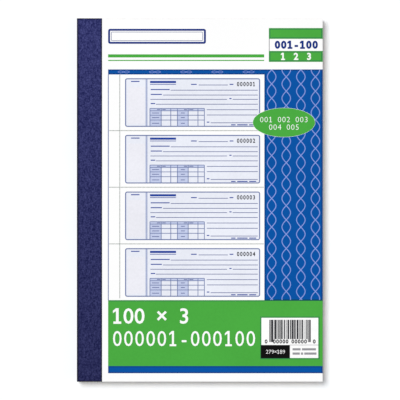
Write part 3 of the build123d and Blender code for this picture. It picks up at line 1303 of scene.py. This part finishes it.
for number in ALL_RECEIPTS:
    small_spot = picture_spot(number)
    cover_drawing.append(("wash", GROUND, rounded_bar(small_spot, FORM, FORM_CORNER)))
    for name, level, faces in draw_form(small_spot, number, PICTURE_BOLD):
        cover_drawing.append((name, GROUND + level, faces))
print(RECEIPTS, "receipts at", round(PICTURE_ACROSS, 3), "of their width")

# %% [markdown]
# ## Tear lines of the picture
# The picture's perforation is a row of dashes beside the stub and one below each receipt but the last.
# A paler unbroken line would look the same from afar, but not close by. The rows cross, so those across
# the page lie a little higher than the one down it.

# %% Broken lines and the edge of the stub
PICTURE_LEFT, PICTURE_LEFT_LINE, PICTURE_TEAR = 24.15, 0.68, 32.95
TEAR_DASH, TEAR_PITCH, TEAR_WEIGHT, TEAR_INSET = 0.78, 1.0, 0.7, 0.3


def dash_ends(start, end):
    """Where each dash of a broken line begins and ends."""
    count = int((end - start) // TEAR_PITCH)
    return [(start + i * TEAR_PITCH, start + i * TEAR_PITCH + TEAR_DASH) for i in range(count)]


ends_down = dash_ends(HEADER_BOTTOM + TEAR_INSET, PANEL_BOTTOM - TEAR_INSET)
ends_across = dash_ends(PICTURE_LEFT + PICTURE_LEFT_LINE, PANEL_LEFT)
tear_down = together(post(cover_spot, PICTURE_TEAR, *ends, TEAR_WEIGHT) for ends in ends_down)
tear_across = []
for number in ALL_RECEIPTS[:-1]:
    down = PICTURE_TOP + number * PICTURE_PITCH
    tear_across += together(rule(cover_spot, *ends, down, TEAR_WEIGHT) for ends in ends_across)
cover_drawing += [
    ("perforation", GROUND, tear_down),
    ("perforation", RIMS, tear_across),
    ("frame", GROUND, post(cover_spot, PICTURE_LEFT, HEADER_BOTTOM, PANEL_BOTTOM, PICTURE_LEFT_LINE)),
]
print(len(tear_down), "dashes down and", len(tear_across), "across")

# %% [markdown]
# ## Oval
# A green oval with a fine white rim lies half on the panel and half on the picture, with a run of plain
# numbers in it. It covers the braid and the receipts, so it lies higher than both. The rim is what shows
# of a white oval below the green one, which is simpler than a ring.

# %% Oval with numbers
OVAL = (159.2, 80.1)
OVAL_HALVES = (24.05, 11.25)
OVAL_RIM = 0.15
OVAL_ROWS = (("001 002 003", (140.4, 178.0, 75.8, 79.9)), ("004 005", (147.3, 171.1, 81.6, 85.7)))
OVAL_BOLDNESS = -0.012

inner_halves = [half - OVAL_RIM for half in OVAL_HALVES]
cover_drawing.append(("white", TOPS, oval(cover_spot, *OVAL, *OVAL_HALVES)))
cover_drawing.append(("green", HIGHER, oval(cover_spot, *OVAL, *inner_halves)))
for row, edges in OVAL_ROWS:
    cover_drawing.append(("white", HIGHEST, figures(cover_spot, row, edges, OVAL_BOLDNESS)))
print("oval", " by ".join(str(round(2 * half, 1)) for half in OVAL_HALVES), "mm")

# %% [markdown]
# ## Foot of the cover
# The green field at the foot has two rows of white numbers, the sets and parts and the serial numbers
# from first to last. A white label beside them holds the size of the book, zeros and short bars. The
# white could be left open in the green, but a second film on top of it needs no cutting.

# %% Numbers and label at the foot
TITLE_ROWS = (
    ("100 × 3", (26.8, 86.7, 222.9, 234.9), 0.012, 1.0),
    ("000001-000100", (26.8, 138.0, 240.4, 252.1), 0.0, 0.9),
)
LABEL_BOX = (141.9, 185.6, 230.3, 261.2)
SIZE_BOX = (141.4, 163.8, 251.2, 261.4)
SIZE_PLACE, SIZE_BOLDNESS = (145.2, 160.2, 254.9, 257.9), -0.01
ZEROS = (("0", 144.0, 147.0), ("00000", 150.6, 162.8), ("00000", 164.8, 177.0), ("0", 181.0, 184.0))
ZEROS_TOP, ZEROS_BOTTOM, ZEROS_BOLDNESS = 246.9, 250.1, 0.04
LABEL_MARKS = (
    (165.8, 172.0, 254.5), (173.0, 183.8, 254.5),
    (165.8, 171.4, 257.8), (172.2, 174.0, 257.8), (174.8, 184.2, 257.8),
)
LABEL_MARK_HEIGHT, LABEL_LINE = 1.7, 0.35

for row, edges, boldness, width in TITLE_ROWS:
    cover_drawing.append(("white", OVER, figures(cover_spot, row, edges, boldness, width)))
_, label_right, _, _ = LABEL_BOX
_, size_right, size_top, _ = SIZE_BOX
label_line = rule(cover_spot, size_right, label_right, size_top, LABEL_LINE)
label_marks = together(rule(cover_spot, *mark, LABEL_MARK_HEIGHT) for mark in LABEL_MARKS)
zeros = together(
    figures(cover_spot, row, (*ends, ZEROS_TOP, ZEROS_BOTTOM), ZEROS_BOLDNESS) for row, *ends in ZEROS
)
cover_drawing += [
    ("forest", RIMS, squeezed(LABEL_BOX, -SQUEEZE_END, -SQUEEZE_START)),
    ("white", OVER, bar(cover_spot, *LABEL_BOX)),
    ("black", LINES, bar(cover_spot, *SIZE_BOX)),
    ("white", TOPS, figures(cover_spot, "279×189", SIZE_PLACE, SIZE_BOLDNESS)),
    ("grey", LINES, label_line + label_marks),
    ("serial", LINES, zeros),
]
print("label", measures(LABEL_BOX))

# %% [markdown]
# ## Bars of the label
# The label's bars are of uneven width and stand for no number. A list of widths would do, but a sum with
# a remainder gives as uneven a row from one line, and gives it again each time. The two bars at either
# end reach further down.

# %% Bars of uneven width
BARS_LEFT, BARS_RIGHT, BARS_TOP, BARS_BOTTOM, GUARDS_BOTTOM = 148.0, 179.8, 231.8, 246.7, 249.0
BAR_COUNT = 22
BAR_WIDTHS, GAP_WIDTHS, BAR_CYCLE = 6, 2, 23
BAR_TERMS, GAP_TERMS = (7, 2, 2), (2, 7, 2)
GUARDS = (0, 1, BAR_COUNT - 2, BAR_COUNT - 1)


def uneven_widths(count, terms, widths):
    """A row of widths from one unit up, without an order that the eye could find."""
    square, straight, start = terms
    return [1 + (square * i * i + straight * i + start) % BAR_CYCLE % widths for i in range(count)]


thick = uneven_widths(BAR_COUNT, BAR_TERMS, BAR_WIDTHS)
clear = uneven_widths(BAR_COUNT - 1, GAP_TERMS, GAP_WIDTHS) + [0]
unit = (BARS_RIGHT - BARS_LEFT) / (sum(thick) + sum(clear))
bars = []
across = BARS_LEFT
for i in range(BAR_COUNT):
    bottom = GUARDS_BOTTOM if i in GUARDS else BARS_BOTTOM
    bars += bar(cover_spot, across, across + thick[i] * unit, BARS_TOP, bottom)
    across += (thick[i] + clear[i]) * unit
cover_drawing.append(("charcoal", LINES, bars))
print(BAR_COUNT, "bars, one unit is", round(unit, 3), "mm")

# %% [markdown]
# ## Print the cover
# A press prints one ink at a time, and so does this cell: all the shapes of one ink become one piece,
# which rides on the cover that carries it.

# %% One piece for each ink of the cover
for name in dict.fromkeys(ink_name for ink_name, _, _ in cover_drawing):
    bm = bmesh.new()
    for ink_name, level, faces in cover_drawing:
        if ink_name == name:
            add_film(bm, faces, cover_top, cover_top + level * COVER_LEVEL)
    piece = new_piece(f"cover_print_{name}", bm, [inks[name]], "front_cover")
    print(piece.name, len(piece.data.polygons), "faces")

# %% [markdown]
# ## Slits of the perforation
# The top leaf of the unused sets is seen when the first set is turned over, so it has the slits of its
# perforation. A boolean cut would make them one by one. Here the outline of the leaf and all the slits
# are filled in one go, which leaves the slits open.

# %% Rows of slits
SLIT_LENGTH, SLIT_WIDTH, SLIT_TIE = 4.0 * MM, 0.25 * MM, 1.0 * MM
SLIT_PITCH = SLIT_LENGTH + SLIT_TIE


def row_starts(start, end):
    """Where the slits of a row begin, with as many as fit between two places and a tie left over."""
    count = int((end - start - SLIT_TIE) // SLIT_PITCH)
    first = (start + end - count * SLIT_PITCH + SLIT_TIE) / 2
    return [first + i * SLIT_PITCH for i in range(count)]


def slit_loops():
    """The slits beside the stub and between the receipts, as flat faces."""
    loops = []
    for receipt in ALL_RECEIPTS:
        foot = head_y - receipt * receipt_height
        for bottom in row_starts(foot, foot + receipt_height):
            loops += bar(plain_spot, tear_x, tear_x + SLIT_WIDTH, bottom + SLIT_LENGTH, bottom)
        if receipt < RECEIPTS:
            for left in row_starts(tear_x, fore_edge_x):
                loops += bar(plain_spot, left, left + SLIT_LENGTH, foot + SLIT_WIDTH, foot)
    return loops


def filled(loops):
    """Faces that fill the first loop and leave the others open."""
    flat = bmesh.new()
    for loop in loops:
        corners = [flat.verts.new((x, y, 0.0)) for x, y in loop]
        for i in range(len(corners)):
            flat.edges.new((corners[i - 1], corners[i]))
    bmesh.ops.triangle_fill(flat, use_beauty=True, edges=flat.edges[:], normal=(0.0, 0.0, 1.0))
    faces = [[(vertex.co.x, vertex.co.y) for vertex in face.verts] for face in flat.faces]
    flat.free()
    return faces


print("a leaf has", len(slit_loops()), "slits")

# %% [markdown]
# ## Leaves of the unused sets
# The block below the set in use is 72 leaves. As solids they are all one size, but in a real block no
# two edges line up quite: the knife pulls and the leaves creep. Each leaf is made again here as a thin
# slab, in its place, with free edges that stand back by up to a quarter of a millimetre. One slab with
# painted stripes would be lighter, but its edges would be flat.

# %% White, yellow and pink leaves
EDGE_CREEP = 0.16 * MM
CREEP_DRIFT = 0.1 * MM
DRIFT_LEAVES = 17
LEAF_SEED = 11
UNUSED_SETS = 24
FREE_EDGES = 3

creep = random.Random(LEAF_SEED)
top_leaf_z = 0.0
for colour in ("pink", "yellow", "white"):
    node = f"{colour}_leaves"
    low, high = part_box(node)
    bm = bmesh.new()
    for i in range(UNUSED_SETS):
        drift = CREEP_DRIFT * (1 + math.sin(math.tau * i / DRIFT_LEAVES)) / 2
        fore, foot, head = (drift + creep.uniform(0.0, EDGE_CREEP) for _ in range(FREE_EDGES))
        sole = low.z + (high.z - leaf_thickness - low.z) * i / (UNUSED_SETS - 1)
        faces = bar(plain_spot, low.x, high.x - fore, high.y - head, low.y + foot)
        if colour == "white" and i == UNUSED_SETS - 1:
            faces = filled(faces + slit_loops())
        add_film(bm, faces, sole, sole + leaf_thickness)
    piece = new_piece(f"{colour}_leaf_block", bm, [papers[colour]], "bound_block")
    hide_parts(node)
    top_leaf_z = max(top_leaf_z, high.z)
    print(piece.name, UNUSED_SETS, "leaves,", len(piece.data.polygons), "faces")

# %% [markdown]
# ## Forms on the leaves
# Opened, the book shows the receipts themselves: white, then yellow and pink with the same numbers, and
# the next white leaf below the shield. The same form function prints them at full size. The leaves lie
# two hundredths of a millimetre apart, so these films are thinner than those on the cover.

# %% Print the leaves
LEAF_LEVEL = 0.007 * MM
LEAF_INKS = CLEAR_INKS + ("line", "heading", "serial")


def leaf_spot(number):
    """A spot function for one receipt of a leaf, counted from the head."""
    head = head_y - (number - 1) * receipt_height

    def spot(across, down):
        return (tear_x + across * MM, head - down * MM)

    return spot


def print_leaf(name, body, colour, top_z, places, first_number=1):
    """Print the receipts at some places of a leaf as one piece."""
    bm = bmesh.new()
    for receipt in places:
        for key, level, faces in draw_form(leaf_spot(receipt), first_number + receipt - 1):
            add_film(bm, faces, top_z, top_z + level * LEAF_LEVEL, LEAF_INKS.index(key))
    tinted = colour != "white"
    used = [f"{key}_on_{colour}" if tinted and key in CLEAR_INKS else key for key in LEAF_INKS]
    return new_piece(name, bm, [inks[key] for key in used], body)


for colour in ("white", "yellow"):
    for number in ALL_RECEIPTS:
        receipt = f"{colour}_receipt_{number}"
        print_leaf(f"{receipt}_print", receipt, colour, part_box(receipt)[1].z, [number])
print_leaf("pink_leaf_print", "pink_copy", "pink", leaf_high.z, ALL_RECEIPTS)
print_leaf("next_leaf_print", "bound_block", "white", top_leaf_z, ALL_RECEIPTS, RECEIPTS + 1)
print("printed", 2 * RECEIPTS, "receipts and 2 leaves")

# %% [markdown]
# ## Table
# The book lies on a plain white table. The table gives off a little light of its own, so that it is pure
# white where it is lit, as the photograph's ground is. It is a cool white, because the yellow and pink
# edges of the leaves warm the shadow beside them.

# %% White table
TABLE_SIZE = 6.0
TABLE_DROP = 0.62 * MM
TABLE_COLOUR = (0.866, 0.895, 0.918)
TABLE_SHADES = (0.99, 1.01)
TABLE_CLOUDS_PER_METRE = 40
TABLE_ROUGHNESS = 0.9
TABLE_SHINE = 0.0
TABLE_GLOW = 0.09
PLAIN_WHITE = (1.0, 1.0, 1.0, 1.0)

table_top, tree, shader = new_material("table_top")
cloud = noise(tree, object_spot(tree), TABLE_CLOUDS_PER_METRE)
feed(tree, shader, {
    "Base Color": lighten(tree, TABLE_COLOUR, remap(tree, cloud, NOISE_SPAN, TABLE_SHADES)),
    "Roughness": TABLE_ROUGHNESS,
    "Specular IOR Level": TABLE_SHINE,
    "Emission Color": PLAIN_WHITE,
    "Emission Strength": TABLE_GLOW,
})
bm = bmesh.new()
half = TABLE_SIZE / 2
bm.faces.new([bm.verts.new((x, y, -TABLE_DROP)) for x, y in box_loop(-half, half, half, -half)])
table = to_scene("table", new_mesh("table", bm, [table_top]))
table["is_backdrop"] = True
print("table", TABLE_SIZE, "m wide,", round((cad_low.z + TABLE_DROP) / MM, 2), "mm below the book")

# %% [markdown]
# ## Light
# The photograph has one soft shadow, at the right and at the foot. An area lamp could throw it, but its
# light falls off across the cover. A wide sun from the upper left is even, and its width sets how soft
# the shadow is. An even, cool sky fills the shadow, and sun and sky add up to white on the cover.

# %% Sun and sky
SKY_LEVEL, BACKDROP_LEVEL = 0.27, 1.0
SUN_LEVEL = LIGHT_LEVEL - SKY_LEVEL
SKY_COLOUR = (0.92, 1.0, 1.07, 1.0)
SUN_COLOUR = tuple((LIGHT_LEVEL - SKY_LEVEL * share) / SUN_LEVEL for share in SKY_COLOUR[:3])
SUN_HEIGHT, SUN_BEARING, SUN_WIDTH = 63.0, 136.0, 35.0

world = bpy.data.worlds.new("studio")
world.use_nodes = True
tree = world.node_tree
sky = place(tree, "ShaderNodeBackground", {"Color": SKY_COLOUR, "Strength": SKY_LEVEL})
backdrop = place(tree, "ShaderNodeBackground", {"Color": PLAIN_WHITE, "Strength": BACKDROP_LEVEL})
looking = place(tree, "ShaderNodeLightPath").outputs["Is Camera Ray"]
both = {0: looking, 1: sky.outputs["Background"], 2: backdrop.outputs["Background"]}
shown = place(tree, "ShaderNodeMixShader", both)
feed(tree, tree.nodes["World Output"], {"Surface": shown.outputs["Shader"]})
bpy.context.scene.world = world

sun_data = bpy.data.lights.new("sun", "SUN")
sun_data.color = SUN_COLOUR
sun_data.energy = SUN_LEVEL * math.pi / math.sin(math.radians(SUN_HEIGHT))
sun_data.angle = math.radians(SUN_WIDTH)
sun = to_scene("sun", sun_data)
sun.rotation_euler = (0.0, math.radians(QUARTER - SUN_HEIGHT), math.radians(SUN_BEARING))
print("light on the cover:", SKY_LEVEL + SUN_LEVEL)

# %% [markdown]
# ## Camera
# The photograph looks straight down, and the sides of the book hardly show, so the lens is long and far
# away. The camera stands where the book's edges fall on the pixels at which the photograph has them.

# %% Camera above the book
IMAGE_PIXELS = 400
BOOK_LEFT_PIXEL, BOOK_RIGHT_PIXEL = 76.9, 322.7
BOOK_TOP_PIXEL, BOOK_BOTTOM_PIXEL = 18.35, 381.63
LENS, SENSOR = 200.0, 36.0

metres_per_pixel = (fore_edge_x - spine_x) / (BOOK_RIGHT_PIXEL - BOOK_LEFT_PIXEL)
right_of_book = IMAGE_PIXELS / 2 - (BOOK_LEFT_PIXEL + BOOK_RIGHT_PIXEL) / 2
above_book = (BOOK_TOP_PIXEL + BOOK_BOTTOM_PIXEL) / 2 - IMAGE_PIXELS / 2
camera_data = bpy.data.cameras.new("camera")
camera_data.lens = LENS
camera_data.sensor_width = SENSOR
camera = to_scene("camera", camera_data)
distance = IMAGE_PIXELS * metres_per_pixel * LENS / SENSOR
camera.location = (right_of_book * metres_per_pixel, above_book * metres_per_pixel, cover_top + distance)
bpy.context.scene.camera = camera
bpy.context.scene.view_settings.view_transform = "Standard"
print("camera", round(distance, 3), "m above the cover")

# %% [markdown]
# ## Sizes
# The box of the dressed model is measured against the box of the solids, and the last line prints by how
# much they differ at most.

# %% Compare the boxes
visual_low, visual_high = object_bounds()
growth = max(abs(a - b) for a, b in zip([*visual_low, *visual_high], [*cad_low, *cad_high]))
print("the dressed model differs from the solids by at most", round(growth / MM, 4), "mm")
